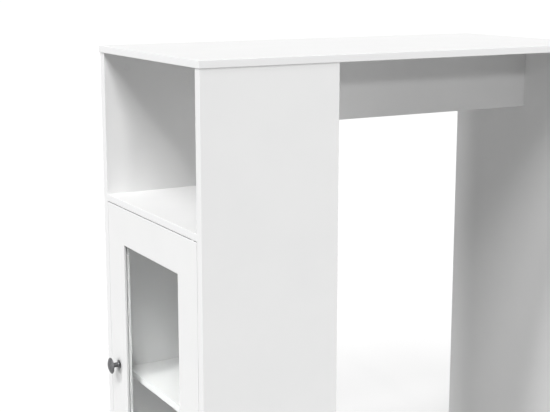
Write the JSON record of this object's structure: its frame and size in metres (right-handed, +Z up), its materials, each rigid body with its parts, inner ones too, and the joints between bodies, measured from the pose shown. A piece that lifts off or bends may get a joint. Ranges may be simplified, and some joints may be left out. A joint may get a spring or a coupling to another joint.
{
  "type": "bar table",
  "caption": "White bar table on a storage tower and an end panel: open niche over a cupboard with a glazed swing door, apron under the top.",
  "frame": {"origin": "on the floor, midway between the knob's tip and the far end of the top, and midway across the table", "axes": "+X along the table from the tower to the leg panel, +Y across it away from the door's hinge side, +Z up"},
  "size_m": [1.044, 0.5, 1.1],
  "materials": {
    "white_board": "matt white faced board with white banded edges",
    "clear_glass": "clear float glass",
    "dark_metal": "dark satin plated zinc",
    "plated_steel": "bright zinc plated steel",
    "cast_zinc": "raw die-cast zinc",
    "white_plastic": "matt white moulded plastic",
    "grey_plastic": "matt grey moulded plastic",
    "beech": "raw fluted beech",
    "ferrite": "dull dark ferrite"
  },
  "bodies": {
    "carcass": {"tabletop": "white_board", "front_side_panel": "white_board", "rear_side_panel": "white_board", "tower_back_panel": "white_board", "upper_shelf": "white_board", "bottom_panel": "white_board", "inner_shelf": "white_board", "apron_panel": "white_board", "leg_panel": "white_board", "cam_bolts": "plated_steel", "catch_screws": "plated_steel", "shelf_supports": "plated_steel", "cam_locks": "cast_zinc", "cam_caps": "white_plastic", "catch_case": "white_plastic", "pivot_bushes": "white_plastic", "floor_glides": "grey_plastic", "dowels": "beech", "catch_magnet": "ferrite"},
    "door": {"door_panel": "white_board", "door_glass": "clear_glass", "lower_glazing_bead": "white_board", "knob_side_glazing_bead": "white_board", "upper_glazing_bead": "white_board", "hinge_side_glazing_bead": "white_board", "pivot_pins": "plated_steel", "door_knob": "dark_metal", "knob_screw": "plated_steel", "strike_plate": "plated_steel", "strike_screw": "plated_steel"}
  },
  "joints": [
    {"name": "door_hinge", "type": "hinge", "parent": "carcass", "child": "door", "pos_m": [-0.4885, -0.206, 0.388], "axis": [0, 0, 1], "range_deg": [0, 120]}
  ]
}
